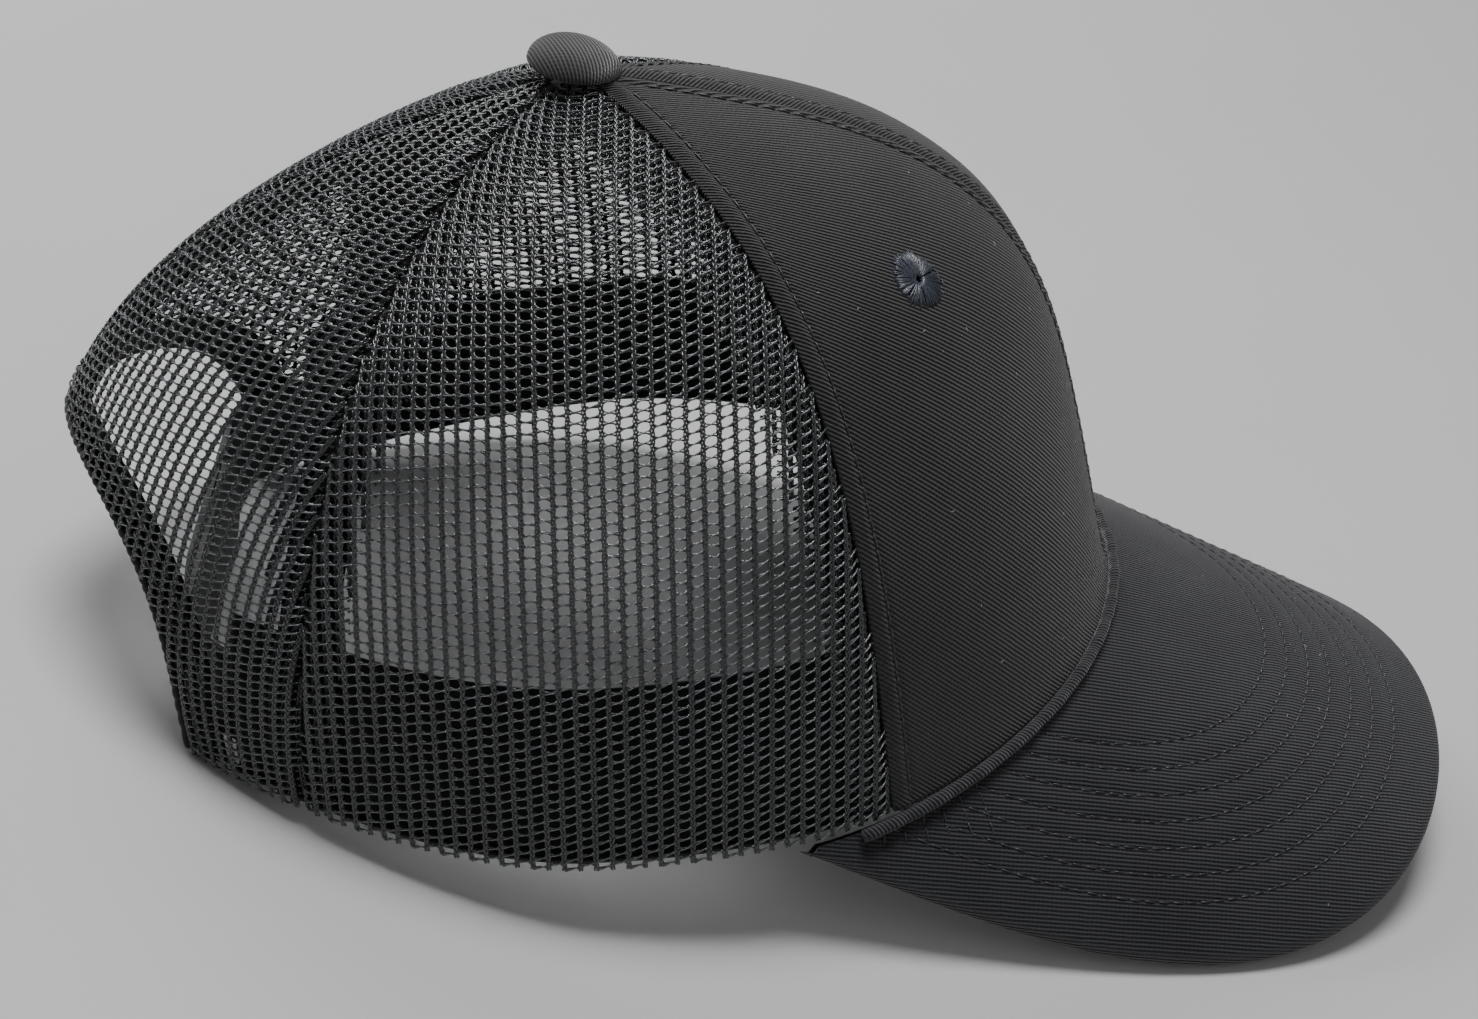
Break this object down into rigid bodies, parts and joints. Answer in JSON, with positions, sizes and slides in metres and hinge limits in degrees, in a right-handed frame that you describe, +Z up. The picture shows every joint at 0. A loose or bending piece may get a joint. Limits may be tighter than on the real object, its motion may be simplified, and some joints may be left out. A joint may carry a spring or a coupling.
{
  "type": "baseball cap",
  "caption": "Snapback cap with stiffened twill front, mesh sides and back, curved visor, covered button and a snap strap across the arched back opening.",
  "frame": {"origin": "on the table that the cap stands on, below the middle of the head opening", "axes": "-Y where the visor points, +X to the wearer's left, +Z up"},
  "size_m": [0.164, 0.2788, 0.132],
  "materials": {
    "twill": "black cotton twill",
    "mesh": "black knitted polyester mesh, slightly glossy yarn",
    "stiffener": "stiff black buckram",
    "eyelet_thread": "navy black embroidery thread",
    "tape": "woven black tape",
    "sweatband": "black cotton twill",
    "label": "white satin",
    "button_cloth": "black cotton twill",
    "button_metal": "pressed, dull",
    "visor_cloth": "black cotton twill",
    "visor_plastic": "moulded polyethylene board",
    "strap_plastic": "moulded soft plastic, satin"
  },
  "bodies": {
    "cap": {"front_panel_left": "twill", "front_panel_right": "twill", "side_mesh_left": "mesh", "side_mesh_right": "mesh", "back_mesh_left": "mesh", "back_mesh_right": "mesh", "front_stiffener_left": "stiffener", "front_stiffener_right": "stiffener", "eyelet_left": "eyelet_thread", "eyelet_right": "eyelet_thread", "front_seam_tape": "tape", "front_side_tape_left": "tape", "front_side_tape_right": "tape", "side_back_tape_left": "tape", "side_back_tape_right": "tape", "back_seam_tape": "tape", "arch_tape": "tape", "sweatband": "sweatband", "size_label": "label", "button_cover": "button_cloth", "button_shell": "button_metal", "button_back": "button_metal", "visor_top_cloth": "visor_cloth", "visor_under_cloth": "visor_cloth", "visor_seam_roll": "visor_cloth", "visor_board": "visor_plastic", "strap_holes_root": "strap_plastic", "strap_posts_root": "strap_plastic"},
    "strap_with_holes": {"strap_holes": "strap_plastic"},
    "strap_with_posts": {"strap_posts": "strap_plastic"}
  },
  "joints": [
    {"name": "unsnap_holes", "type": "hinge", "parent": "cap", "child": "strap_with_holes", "pos_m": [0.03, 0.07975, 0.01304], "axis": [0, -0.165, -0.9863], "range_deg": [0, 75]},
    {"name": "unsnap_posts", "type": "hinge", "parent": "cap", "child": "strap_with_posts", "pos_m": [-0.03, 0.07817, 0.01331], "axis": [0, 0.165, 0.9863], "range_deg": [-35, 0]}
  ]
}
